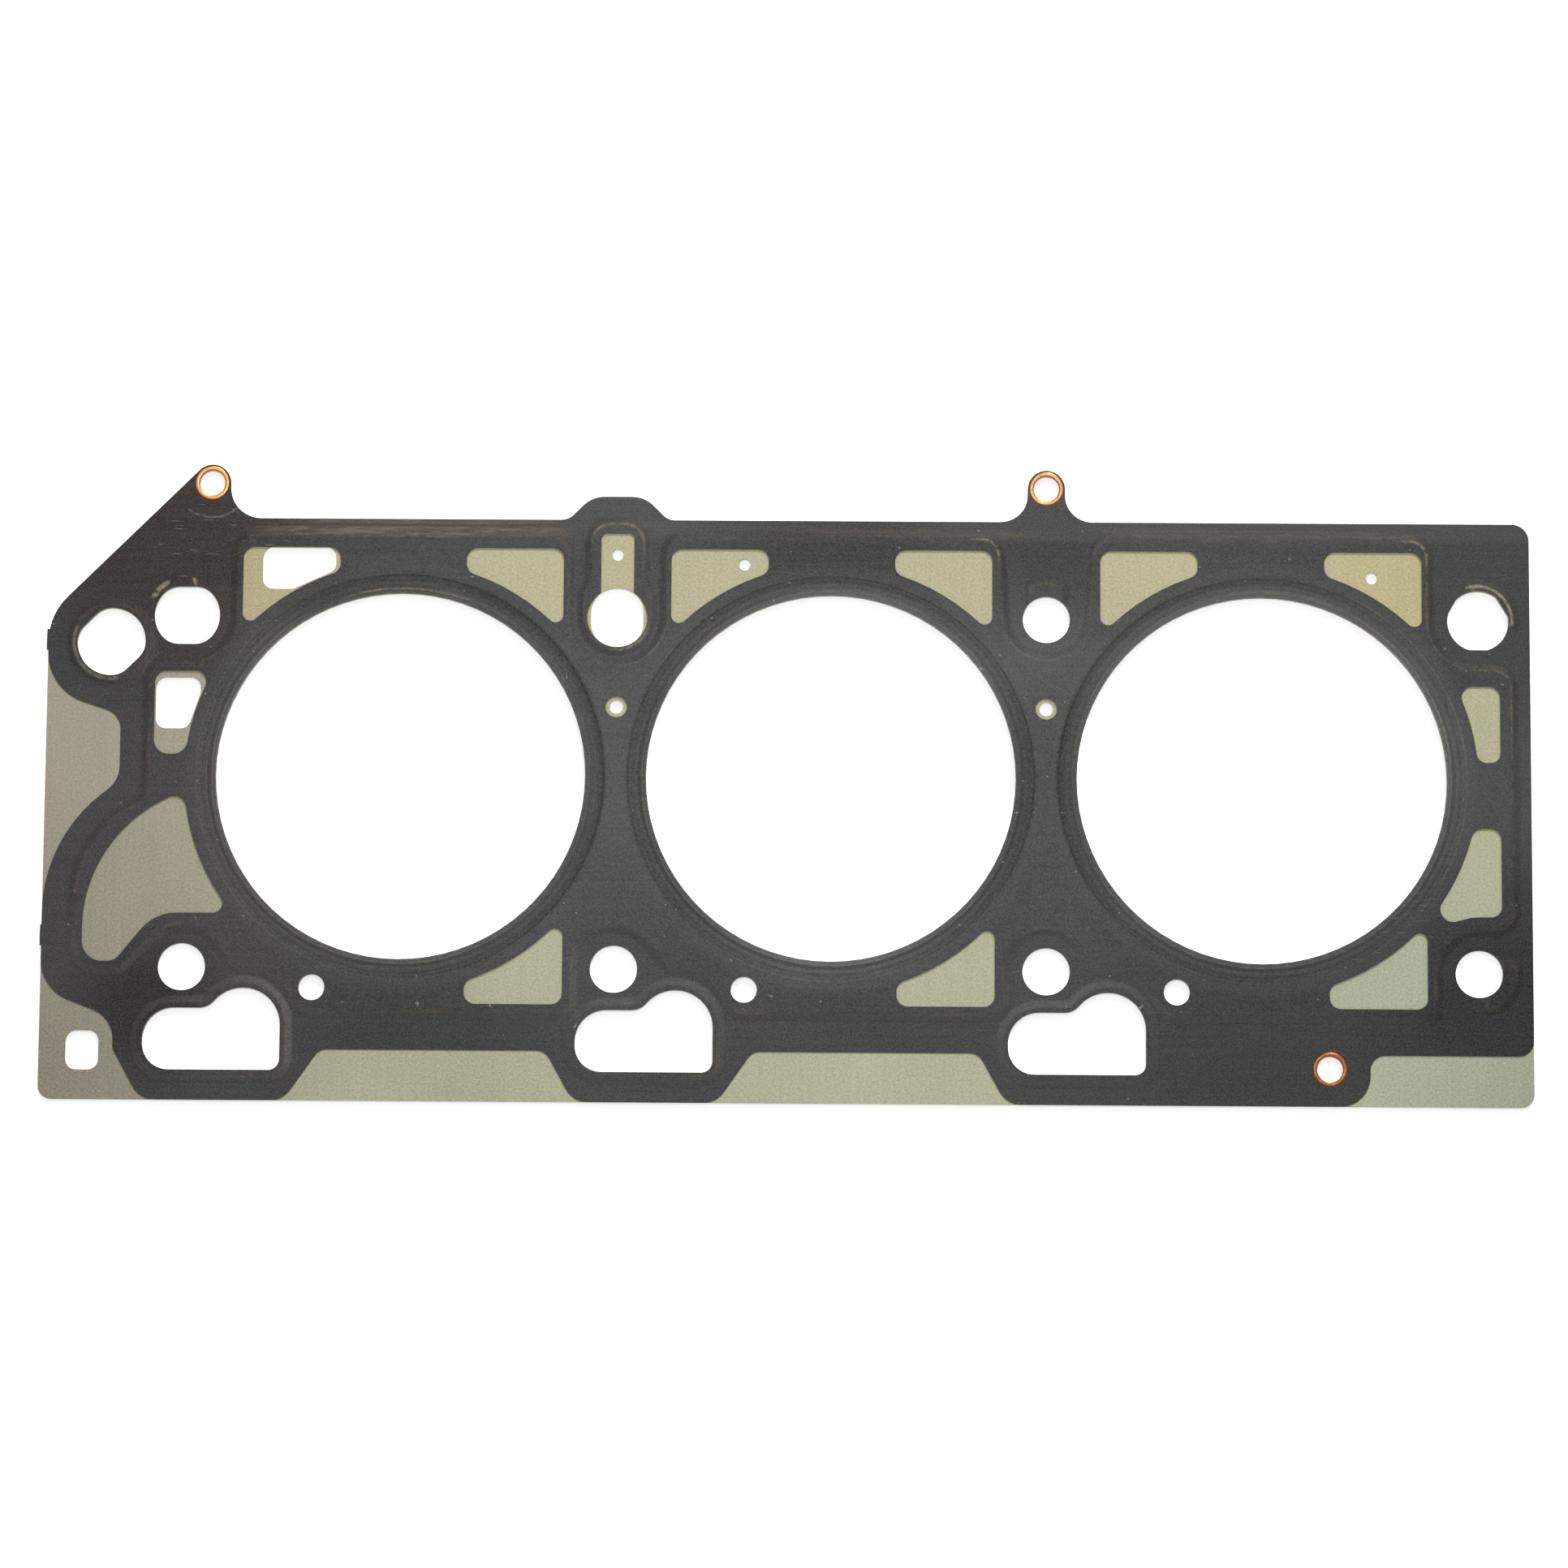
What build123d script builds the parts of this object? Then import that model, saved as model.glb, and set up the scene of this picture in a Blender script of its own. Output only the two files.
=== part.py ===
from build123d import *
import os
from math import cos, hypot, radians, sqrt, tan

# Cylinder head gasket for one bank of three cylinders, in millimetres.
# A flat spacer sheet lies between two coated, embossed bead sheets, and three
# hollow eyelets hold the stack together.
# The origin is on the middle bore's axis, at the level that the gasket lies on.
# +X runs to the rear end, +Y to the side with the eyelet tabs and +Z up.

# Sheets and beads
bead_sheet = 0.25  # thickness of each coated bead sheet
spacer_sheet = 0.7
bead_height = 0.25  # rise of a half bead, and depth of the full bead round a bore
bead_slope = 1.8  # width of a half bead's slope, seen from above
bore_land = 1.3  # flat strip between a bore's edge and its full bead
bore_bead_in = 1.4  # width of the full bead's slope next to the bore
bore_bead_floor = 0.7
bore_bead_out = 2.0  # width of its slope away from the bore

# Bores and bolts
bore_count = 3
bore_pitch = 114.0
bore_diameter = 97.9
bolt_hole = 12.5
tab_bolt_row = 42.7  # bore line to the bolts on the tab side
port_bolt_row = 51.25  # bore line to the bolts on the oil port side

# Outline
front_reach = 94.2  # front bore's axis to the front edge
rear_strip = 8.0  # small window beside the rear bore to the rear edge
tab_edge = 69.0  # bore line to the edge on the tab side
port_edge = 86.4  # bore line to the edge on the oil port side
front_corner = 16.5
rear_corner = 4.5
sheet_corner = 3.5
tab_corner = 7.3  # hollow corners beside the middle eyelet's tab
front_tab_corner = 8.3
hump_reach = 6.3  # how far the edge bulges out past the oil slot
hump_half_top = 7.0
hump_half_foot = 13.3
hump_top_corner = 8.0
hump_foot_corner = 4.5

stub_out = 0.4  # stubs of the ties that held the blank, on the front edge
stub_long = 5.5
front_stubs_y = (36.0, -43.0)

# Eyelets
eyelet_hole = 6.8
eyelet_wall = 0.25
eyelet_flange = 9.1
eyelet_flange_sheet = 0.22
eyelet_fit = 0.05  # gap between an eyelet and the sheets, all round
tab_radius = 4.95
front_eyelet_x = 51.4  # ahead of the front bore's axis
tab_eyelet_out = 9.0  # tab edge to the middle eyelet
front_eyelet_out = 9.5
rear_eyelet_x = 17.6  # behind the rear bore's axis
rear_eyelet_in = 9.8  # port edge to the rear eyelet

# Notches that bare the spacer on the front side and the port side
front_notch = 19.7  # front edge to the notch's end
front_notch_top = 22.5
front_notch_end = 15.9
front_notch_foot = 1.8  # both feet lie below the bore line
front_notch_low = 17.3
front_notch_corners = (14.0, 5.5, 8.0, 40.0)
corner_notch_top = 57.4
corner_notch_step = 64.9
corner_notch_corners = (11.6, 8.6)
strip_notch = 13.5  # depth of the notches along the port edge
foot_corner = 6.5
rear_foot_corner = 8.0
foot_crook = 4.0  # hollow corners where a foot meets the strip
foot_ahead_low = 10.3  # bolt axis to the foot ahead of it, at the port edge
foot_ahead_high = 17.8
foot_behind_low = 27.4
foot_behind_high = 36.8
rear_foot = 28.2  # rear bore's axis to the end of the rear foot

# Windows in the bead sheets, which bare the spacer round the bores
window_web = 8.35  # bore's edge to a window
window_bolt_gap = 14.3  # bolt axis to a tab side window
window_inner = 16.8  # bore's axis to a tab side window's inner end
window_strip = 7.7  # tab edge to the tab side windows
low_window_bolt_gap = 13.5
low_window_inner = 17.6
low_window_foot = 60.7  # bore line to the port side windows' straight edge
window_corner = 3.0
window_tip = 2.1
front_window_wide = 8.3  # small window beside the front bore, on the line of bores
front_window_low = 5.4
front_window_high = 27.8
front_window_end = 3.9  # radius of its lower corners
rear_window_wide = 5.9
rear_window_low = 4.9
rear_window_high = 25.4
rear_window_end = 2.7
rear_low_window_top = 12.6
rear_low_window_foot = 36.2
rear_low_window_bend = 1.5  # last bolt's axis to where that window's foot bends down
rear_low_window_slant = 0.26
rear_low_window_corners = (3.4, 3.0)

# Large window ahead of the front bore, in the bead sheets
bay_window_reach = 83.5
bay_window_top = 17.2
bay_window_foot = 49.9
bay_window_arc = 38.0
bay_window_slant = 0.5
bay_window_hook = 7.3  # first bolt's axis to the hollow round it
bay_window_tail = 17.8
bay_window_corners = (4.0, 5.5)
bay_window_tips = (2.6, 3.3)
bolt_clearance = 12.0  # radius of a window's side that bends round a bolt

# Oil return ports on the port side, placed from the bolt beside each
port_behind = 26.3  # bolt axis to the port's straight end
port_ahead = 10.0  # bolt axis to the port's round end
port_floor = 7.95  # port edge to the port
port_hump = 56.7  # bore line to the top of the port's hump
port_shelf = 62.05
port_hump_radius = 9.95
port_end_radius = 8.2
port_end_corner = 7.0  # below the round end
port_corner = 3.0
port_shelf_corner = 5.0
port_hump_start = 11.7  # bolt axis to the hump's front corner
port_shelf_end = 7.2  # bolt axis to the shelf's rear end

# Passages and small holes
front_hole_flats = ((7.75, 90), (7.75, 270))  # distance and direction of each flat
second_hole_flats = ((6.95, 0), (6.95, 180))
rear_hole_flats = ((7.55, 32), (7.85, 150), (7.75, 270))
front_hole = 17.4
front_hole_ahead = 0.4  # its middle, ahead of the bolt's axis
second_hole = 15.8  # in the spacer
second_hole_window = 16.0  # in the bead sheets
rear_hole = 16.25
rear_hole_behind = 0.5  # its middle, behind the bolt's axis
rear_hole_out = 0.2  # its middle, out from the row of bolts
front_passage = 18.2
front_passage_flats = ((8.2, 135), (8.2, 315))
soft_flat = 6.0  # radius between a flat and the round of a hole in front
crisp_flat = 1.0  # the same in the rear hole
front_passage_x = 77.4  # ahead of the front bore's axis
front_passage_y = 35.5
coolant_hole = 6.9
coolant_hole_ahead = 22.6
coolant_hole_low = 56.5
slot_half = 4.4  # oil slot that runs out of the second large hole
slot_top = 65.4
slot_corner = 1.6
vent_hole = 3.6  # between the bores, in the spacer
vent_window = 5.7  # in the bead sheets
vent_y = 18.7
pin_hole = 3.0
slot_pin_y = 59.6
middle_pin = (-23.2, 57.1)  # from the middle bore's axis
rear_pin = (29.4, 54.3)  # from the rear bore's axis

# Openings in the spacer alone
opening_corner = 2.8
# corners from the front bore's axis and the tab side windows' straight edge
tab_opening_corners = ((-37.5, 0.0), (-18.0, 0.0), (-18.0, -6.1), (-29.5, -11.3), (-37.5, -11.3))
# corners from the front bore's axis
front_opening_corners = ((-65.3, 26.0), (-53.4, 26.0), (-53.4, 22.0), (-56.7, 12.3), (-65.3, 12.3))
corner_window = 8.7
corner_window_tall = 10.3
corner_window_x = 11.4  # front edge to its middle
corner_window_y = 13.0  # port edge to its middle

# Lines of the half bead that encloses the bores, each to the middle of its slope
line_tab = 3.8  # tab edge to the line
line_window = 2.2  # window to the line
line_port = 2.9
line_end = 3.8
line_corner = 5.5
line_bolt = 9.8  # bolt axis to the line
line_bolt_port = 10.6
line_large_hole = 12.1
line_shoulder = 4.4  # bolt axis to where the line leaves the bolt on the port side
line_hump = 4.5  # port's hump to the line
line_hump_ahead = 15.0  # bolt axis to the line's bend over the hump
line_hump_behind = 24.0
line_foot_behind = 32.0
line_hump_corner = 12.0
line_bay = 1.8
line_bay_hook = 16.5
line_bay_corners = (5.0, 8.0, 7.0)

# Half beads round the other openings
rim_port = 2.3  # port to the middle of the slope
rim_passage = 1.9
rim_slot = 3.5
rim_hole = 1.7
rim_corner = 3.0
patch_reach = 10.6  # bolt axis to the far side of a raised patch
patch_corner = 2.0
# raised patches: bolt number and row, then two corners counted from that bolt's axis
patch_corners = (
    (0, tab_bolt_row, (2.5, 4.3), (-patch_reach, patch_reach)),
    (2, tab_bolt_row, (-5.2, 4.0), (5.2, patch_reach)),
    (3, tab_bolt_row, (-1.6, -1.7), (patch_reach, patch_reach)),
    (3, -port_bolt_row, (1.0, 3.2), (patch_reach, -patch_reach)),
)

root = 0.1  # how far a raised block reaches into its sheet

# Places that follow from the sizes
bore_radius = bore_diameter / 2
window_radius = bore_radius + window_web
bore_x = [bore_pitch * (n - (bore_count - 1) / 2) for n in range(bore_count)]
bolt_x = [bore_pitch * (n - bore_count / 2) for n in range(bore_count + 1)]
front_bore = bore_x[0]
rear_bore = bore_x[-1]
front_edge = front_bore - front_reach
front_window_far = front_bore - window_radius - front_window_wide
rear_window_far = rear_bore + window_radius + rear_window_wide
rear_edge = rear_window_far + rear_strip
front_eyelet = (front_bore - front_eyelet_x, tab_edge + front_eyelet_out)
middle_eyelet = (bolt_x[2], tab_edge + tab_eyelet_out)
rear_eyelet = (rear_bore + rear_eyelet_x, rear_eyelet_in - port_edge)
front_passage_place = (front_bore - front_passage_x, front_passage_y)
port_bolts = bolt_x[:3]
pin_holes = [(bolt_x[1], slot_pin_y), middle_pin, (rear_bore + rear_pin[0], rear_pin[1])]
eyelets = {"front_eyelet": front_eyelet, "middle_eyelet": middle_eyelet, "rear_eyelet": rear_eyelet}
lower_base = bead_height
spacer_base = lower_base + bead_sheet
upper_base = spacer_base + spacer_sheet
stack = upper_base + bead_sheet + bead_height


def rounded(corners):
    """a face with straight sides, from corners given as x, y and radius"""
    count = len(corners)
    points = [Vector(x, y) for x, y, _ in corners]
    starts, middles, ends = [], [], []
    to_last = [(points[n - 1] - points[n]).normalized() for n in range(count)]
    to_next = [(points[(n + 1) % count] - points[n]).normalized() for n in range(count)]
    half = [radians(to_last[n].get_angle(to_next[n])) / 2 for n in range(count)]
    asked = [corners[n][2] / tan(half[n]) for n in range(count)]
    side = [(points[(n + 1) % count] - points[n]).length for n in range(count)]
    share = [side[n] / max(side[n], asked[n] + asked[(n + 1) % count]) for n in range(count)]
    for n in range(count):
        used = asked[n] * min(share[n], share[n - 1])
        inward = (to_last[n] + to_next[n]).normalized()
        starts.append(points[n] + to_last[n] * used)
        middles.append(points[n] + inward * used * (1 / cos(half[n]) - tan(half[n])))
        ends.append(points[n] + to_next[n] * used)
    edges = []
    for n in range(count):
        if (ends[n] - starts[n]).length > 0.001:
            edges.append(ThreePointArc(starts[n], middles[n], ends[n]))
        following = starts[(n + 1) % count]
        if (following - ends[n]).length > 0.001:
            edges.append(Line(ends[n], following))
    return make_face(edges)


def disc(place, diameter):
    """a round face at a place"""
    return Pos(*place) * Circle(diameter / 2)


def flatted(place, diameter, flats, corner):
    """a round hole cut straight on some sides, each with a distance and a direction"""
    hole = Circle(diameter / 2)
    for distance, direction in flats:
        hole -= Rot(0, 0, direction) * Pos(distance + diameter / 2, 0) * Rectangle(diameter, diameter)
    return Pos(*place) * fillet(hole.vertices(), corner)


def beside_bore(corners, axis_x, radii):
    """a window whose side next to a bore runs parallel to the bore's edge"""
    face = rounded(corners) - disc((axis_x, 0), window_radius * 2)
    tips = [v for v in face.vertices() if abs(hypot(v.X - axis_x, v.Y) - window_radius) < 0.01]
    tips.sort(key=lambda v: abs(v.X - axis_x))
    for tip, radius in zip(tips, radii):
        face = fillet(face.vertices().sort_by_distance(tip)[0], radius)
    return face


def tab_window(axis_x, side):
    """one of the pair of windows above a bore"""
    top = tab_edge - window_strip
    inner = axis_x + side * window_inner
    outer = axis_x + side * (bore_pitch / 2 - window_bolt_gap)
    foot = bore_radius / 2
    corners = [
        (inner, top, window_corner),
        (outer, top, window_corner),
        (outer, foot, 0),
        (inner, foot, 0),
    ]
    return beside_bore(corners, axis_x, (window_corner, window_tip))


def port_window(axis_x):
    """the window below a bore, on its rear side"""
    foot = -low_window_foot
    inner = axis_x + low_window_inner
    outer = axis_x + bore_pitch / 2 - low_window_bolt_gap
    top = -bore_radius / 2
    corners = [
        (inner, foot, window_corner),
        (outer, foot, window_corner),
        (outer, top, 0),
        (inner, top, 0),
    ]
    return beside_bore(corners, axis_x, (window_corner, window_tip))


def end_window(axis_x, far, low, high, end_corner):
    """the small tall window beside an end bore"""
    near = (axis_x + far) / 2
    corners = [
        (far, low, end_corner),
        (far, high, window_corner),
        (near, high, 0),
        (near, low, 0),
    ]
    return beside_bore(corners, axis_x, (window_corner, end_corner))


def port(bolt):
    """an oil return port: a round end, a shelf and a hump"""
    floor = port_floor - port_edge
    return rounded([
        (bolt + port_behind, floor, port_corner),
        (bolt + port_behind, -port_hump, port_hump_radius),
        (bolt + port_hump_start, -port_hump, port_hump_radius),
        (bolt + port_shelf_end, -port_shelf, port_shelf_corner),
        (bolt - port_ahead, -port_shelf, port_end_radius),
        (bolt - port_ahead, floor, port_end_corner),
    ])


def rear_low_window():
    """the rear window beside the last bolt, which bends round that bolt"""
    far = rear_window_far
    foot = -rear_low_window_foot
    near = rear_bore + bore_radius / 2
    bend = bolt_x[3] - rear_low_window_bend
    corners = [
        (far, -rear_low_window_top, window_corner),
        (far, foot, window_corner),
        (bend, foot, bolt_clearance),
        (near, foot - rear_low_window_slant * (bend - near), 0),
        (near, -rear_low_window_top, 0),
    ]
    return beside_bore(corners, rear_bore, rear_low_window_corners)


def bay_window():
    """the large window ahead of the front bore, which hooks round the first bolt"""
    far = front_bore - bay_window_reach
    near = front_bore - bore_radius / 2
    hook = window_bolt_gap - port_bolt_row
    bolt = bolt_x[0]
    tail_end, tail_foot = bay_window_corners
    corners = [
        (far, -bay_window_top, bay_window_arc),
        (near, bay_window_slant * (near - far) - bay_window_top, 0),
        (near, hook, 0),
        (bolt - bay_window_hook, hook, bolt_clearance),
        (bolt - bay_window_tail, -bay_window_foot, tail_end),
        (far, -bay_window_foot, tail_foot),
    ]
    return beside_bore(corners, front_bore, bay_window_tips)


def slot():
    """the oil slot in a bead sheet, with the large hole that it runs out of"""
    bolt = bolt_x[1]
    channel = rounded([
        (bolt - slot_half, slot_top, slot_corner),
        (bolt + slot_half, slot_top, slot_corner),
        (bolt + slot_half, tab_bolt_row, 0),
        (bolt - slot_half, tab_bolt_row, 0),
    ])
    return channel + disc((bolt, tab_bolt_row), second_hole_window)


def tab_side():
    """outline corners from the front edge over the eyelet tabs to the rear edge"""
    slant = front_eyelet[1] - front_eyelet[0] + tab_radius * sqrt(2)
    front_tab = front_eyelet[0] + tab_radius
    hump = bolt_x[1]
    tab_x, tab_y = middle_eyelet
    return [
        (front_edge, front_edge + slant, front_corner),
        (front_tab, front_tab + slant, tab_radius),
        (front_tab, tab_edge, front_tab_corner),
        (hump - hump_half_foot, tab_edge, hump_foot_corner),
        (hump - hump_half_top, tab_edge + hump_reach, hump_top_corner),
        (hump + hump_half_top, tab_edge + hump_reach, hump_top_corner),
        (hump + hump_half_foot, tab_edge, hump_foot_corner),
        (tab_x - tab_radius, tab_edge, tab_corner),
        (tab_x - tab_radius, tab_y + tab_radius, tab_radius),
        (tab_x + tab_radius, tab_y + tab_radius, tab_radius),
        (tab_x + tab_radius, tab_edge, tab_corner),
        (rear_edge, tab_edge, rear_corner),
    ]


def with_stubs(face):
    """adds the short stubs of the ties that held the sheet in its strip"""
    return face + [Pos(front_edge, y) * Rectangle(2 * stub_out, stub_long) for y in front_stubs_y]


def bead_outline():
    """outline of a bead sheet: its notches leave the spacer bare along two edges"""
    strip = strip_notch - port_edge
    corners = tab_side() + [
        (rear_edge, strip, foot_crook),
        (rear_bore + rear_foot, strip, foot_crook),
        (rear_bore + rear_foot, -port_edge, rear_foot_corner),
    ]
    for bolt in reversed(port_bolts):
        if bolt != port_bolts[-1]:
            corners.append((bolt + foot_behind_high, strip, foot_crook))
            corners.append((bolt + foot_behind_low, -port_edge, foot_corner))
        corners.append((bolt - foot_ahead_low, -port_edge, foot_corner))
        corners.append((bolt - foot_ahead_high, strip, foot_crook))
    notch = front_edge + front_notch
    corner_top, corner_step = corner_notch_corners
    notch_top, notch_end, notch_foot, notch_low = front_notch_corners
    return with_stubs(rounded(corners + [
        (notch, -corner_notch_step, corner_step),
        (front_edge, -corner_notch_top, corner_top),
        (front_edge, -front_notch_low, notch_low),
        (notch, -front_notch_foot, notch_foot),
        (notch, front_notch_end, notch_end),
        (front_edge, front_notch_top, notch_top),
    ]))


def coolant_zone():
    """the raised zone round the bores and their windows"""
    top = tab_edge - line_tab
    foot = -low_window_foot - line_port
    dip = tab_bolt_row - line_large_hole
    crest = line_bolt_port - port_bolt_row
    over_port = line_hump - port_hump
    ahead = bolt_x[0] + window_bolt_gap - line_window
    behind = bolt_x[3] - window_bolt_gap + line_window
    far_ahead = front_window_far - line_window
    far_behind = rear_window_far + line_end
    near_tab = middle_eyelet[0] - window_bolt_gap + line_window
    past_tab = middle_eyelet[0] + window_bolt_gap - line_window
    corners = [
        (ahead, top, line_corner),
        (bolt_x[1] - line_large_hole, top, line_corner),
        (bolt_x[1] - line_large_hole, dip, line_large_hole),
        (bolt_x[1] + line_large_hole, dip, line_large_hole),
        (bolt_x[1] + line_large_hole, top, line_corner),
        (near_tab, top, line_corner),
        (bolt_x[2] - line_bolt, tab_bolt_row - line_bolt, line_bolt),
        (bolt_x[2] + line_bolt, tab_bolt_row - line_bolt, line_bolt),
        (past_tab, top, line_corner),
        (behind, top, line_corner),
        (behind, dip, line_large_hole),
        (far_behind, dip, line_corner),
        (far_behind, crest, line_corner),
        (bolt_x[3] - line_bolt_port, crest, line_bolt_port),
        (bolt_x[3] - line_bolt_port, foot, line_port),
    ]
    for bolt in reversed(port_bolts):
        corners += [
            (bolt + line_foot_behind, foot, line_corner),
            (bolt + line_hump_behind, over_port, line_hump_corner),
            (bolt + line_hump_ahead, over_port, line_corner),
            (bolt + line_shoulder, crest, line_bolt_port),
        ]
        if bolt != port_bolts[0]:
            corners.append((bolt - line_bolt_port, crest, line_bolt_port))
            corners.append((bolt - line_bolt_port, foot, line_port))
    far = front_bore - bay_window_reach - line_port
    bay_top = line_bay - bay_window_top
    hook_corner, tail_corner, shoulder_corner = line_bay_corners
    return rounded(corners + [
        (bolt_x[0] - line_shoulder, crest, line_bolt_port),
        (bolt_x[0] - line_bay_hook, -bay_window_foot - line_port, hook_corner),
        (far, -bay_window_foot - line_port, tail_corner),
        (far, bay_top, bay_window_arc + line_port),
        (far_ahead, bay_window_slant * (far_ahead - far) + bay_top, shoulder_corner),
        (far_ahead, dip, line_corner),
        (ahead, dip, line_large_hole),
    ])


def slot_zone():
    """the raised zone round the oil slot and its large hole"""
    bolt = bolt_x[1]
    half = slot_half + rim_slot
    hole = second_hole_window / 2 + rim_hole
    shoulder = tab_bolt_row + hole
    return rounded([
        (bolt - half, slot_top + rim_slot, half - rim_hole),
        (bolt + half, slot_top + rim_slot, half - rim_hole),
        (bolt + half, shoulder, rim_corner),
        (bolt + hole, shoulder - rim_corner, rim_corner),
        (bolt + hole, tab_bolt_row - hole, hole),
        (bolt - hole, tab_bolt_row - hole, hole),
        (bolt - hole, shoulder - rim_corner, rim_corner),
        (bolt - half, shoulder, rim_corner),
    ])


def patch(place, near, far):
    """a raised patch beside a bolt, between two corners counted from its axis"""
    middle = ((near[0] + far[0]) / 2, (near[1] + far[1]) / 2)
    box = Pos(*middle) * Rectangle(abs(far[0] - near[0]), abs(far[1] - near[1]))
    face = Circle(patch_reach) & box
    return Pos(*place) * fillet(face.vertices(), patch_corner)


def raised_zones():
    """every zone that a bead sheet's half beads lift, to the middle of the slope"""
    patches = []
    for number, row, near, far in patch_corners:
        patches.append(patch((bolt_x[number], row), near, far))
    rims = [offset(port(bolt), amount=rim_port) for bolt in port_bolts]
    rims.append(disc(front_passage_place, front_passage + 2 * rim_passage))
    return [coolant_zone(), slot_zone()] + rims + patches


def pad(zone):
    """a raised block: its slopes start at height zero and it is rooted below that"""
    foot = offset(zone, amount=bead_slope / 2)
    block = Pos(0, 0, -root) * extrude(foot, amount=bead_height + root)
    top = block.faces().sort_by(Axis.Z)[-1]
    return chamfer(top.edges(), length=bead_slope, length2=bead_height, reference=top)


def bore_groove():
    """the ring that a full bead presses down, hanging from height zero"""
    start = bore_radius + bore_land
    floor = start + bore_bead_in
    rise = floor + bore_bead_floor
    end = rise + bore_bead_out
    low = -bead_height
    profile = [(start, 0), (floor, low), (rise, low), (end, 0), (end, root), (start, root)]
    section = Plane.XZ * make_face(Polyline(*profile, close=True))
    return revolve(section, Axis.Z)


def common_openings():
    """the openings that go through all three sheets"""
    openings = [disc((x, 0), bore_diameter) for x in bore_x]
    openings += [disc((x, -port_bolt_row), bolt_hole) for x in bolt_x]
    openings += [disc((x - coolant_hole_ahead, -coolant_hole_low), coolant_hole) for x in bore_x]
    openings += [disc(place, eyelet_hole + 2 * (eyelet_wall + eyelet_fit)) for place in eyelets.values()]
    openings += [port(bolt) for bolt in port_bolts]
    openings.append(disc((bolt_x[2], tab_bolt_row), bolt_hole))
    front_place = (bolt_x[0] - front_hole_ahead, tab_bolt_row)
    rear_place = (bolt_x[3] + rear_hole_behind, tab_bolt_row + rear_hole_out)
    openings.append(flatted(front_place, front_hole, front_hole_flats, soft_flat))
    openings.append(flatted(rear_place, rear_hole, rear_hole_flats, crisp_flat))
    openings.append(flatted(front_passage_place, front_passage, front_passage_flats, soft_flat))
    return openings


def bead_openings():
    """the openings in a bead sheet alone, most of which bare the spacer"""
    openings = [tab_window(x, side) for x in bore_x for side in (-1, 1)]
    openings += [port_window(x) for x in bore_x]
    openings += [disc((x, vent_y), vent_window) for x in bolt_x[1:3]]
    front = (front_window_far, front_window_low, front_window_high, front_window_end)
    rear = (rear_window_far, rear_window_low, rear_window_high, rear_window_end)
    openings += [end_window(front_bore, *front), end_window(rear_bore, *rear)]
    return openings + [bay_window(), rear_low_window(), slot()]


def spacer_openings():
    """the openings in the spacer alone"""
    openings = [disc((x, vent_y), vent_hole) for x in bolt_x[1:3]]
    openings.append(flatted((bolt_x[1], tab_bolt_row), second_hole, second_hole_flats, soft_flat))
    for place in pin_holes:
        openings.append(disc(place, pin_hole))
    window_edge = tab_edge - window_strip
    for corners, level in ((tab_opening_corners, window_edge), (front_opening_corners, 0)):
        openings.append(rounded([(front_bore + x, level + y, opening_corner) for x, y in corners]))
    window = Rectangle(corner_window, corner_window_tall)
    window = fillet(window.vertices(), opening_corner)
    openings.append(Pos(front_edge + corner_window_x, corner_window_y - port_edge) * window)
    return openings


def through(faces):
    """cutters that pass through a sheet and its beads"""
    depth = 2 * (bead_sheet + bead_height) + spacer_sheet
    return [extrude(face, amount=depth, both=True) for face in faces]


def bead_layer():
    """a bead sheet with its beads pointing up and its base at height zero"""
    sheet = extrude(bead_outline(), amount=bead_sheet)
    pads = [pad(zone) for zone in raised_zones()]
    sheet += [Pos(0, 0, bead_sheet) * block for block in pads]
    sheet -= pads
    groove = bore_groove()
    sheet -= [Pos(x, 0, bead_sheet + bead_height) * groove for x in bore_x]
    sheet += [Pos(x, 0, bead_height) * groove for x in bore_x]
    return sheet - through(common_openings() + bead_openings())


def spacer():
    """the flat sheet in the middle"""
    corners = tab_side()
    corners += [(x, -port_edge, sheet_corner) for x in (rear_edge, front_edge)]
    sheet = extrude(with_stubs(rounded(corners)), amount=spacer_sheet)
    return Pos(0, 0, spacer_base) * (sheet - through(common_openings() + spacer_openings()))


def eyelet(place):
    """a hollow rivet with a flange on each side of the stack"""
    tall = upper_base + bead_sheet - lower_base
    inner = eyelet_hole / 2
    tube = Cylinder(inner + eyelet_wall, tall + 2 * eyelet_flange_sheet)
    for side in (-1, 1):
        flange = Cylinder(eyelet_flange / 2, eyelet_flange_sheet)
        tube += Pos(0, 0, side * (tall + eyelet_flange_sheet) / 2) * flange
    tube -= Cylinder(inner, stack * 2)
    return Pos(*place, lower_base + tall / 2) * tube


layer = Pos(0, 0, upper_base) * bead_layer()
pieces = {
    "upper_bead_layer": layer,
    "spacer_layer": spacer(),
    "lower_bead_layer": mirror(layer, about=Plane.XY.offset(stack / 2)),
}
for name, place in eyelets.items():
    pieces[name] = eyelet(place)

os.makedirs("parts", exist_ok=True)
for name, piece in pieces.items():
    export_step(piece, f"parts/{name}.step")
    print(name, "volume", round(piece.volume, 1))
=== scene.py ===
from math import ceil, cos, pi, radians, sin

import bmesh
import bpy
from mathutils import Matrix, Vector
from mathutils.bvhtree import BVHTree
from mathutils.geometry import delaunay_2d_cdt


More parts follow.
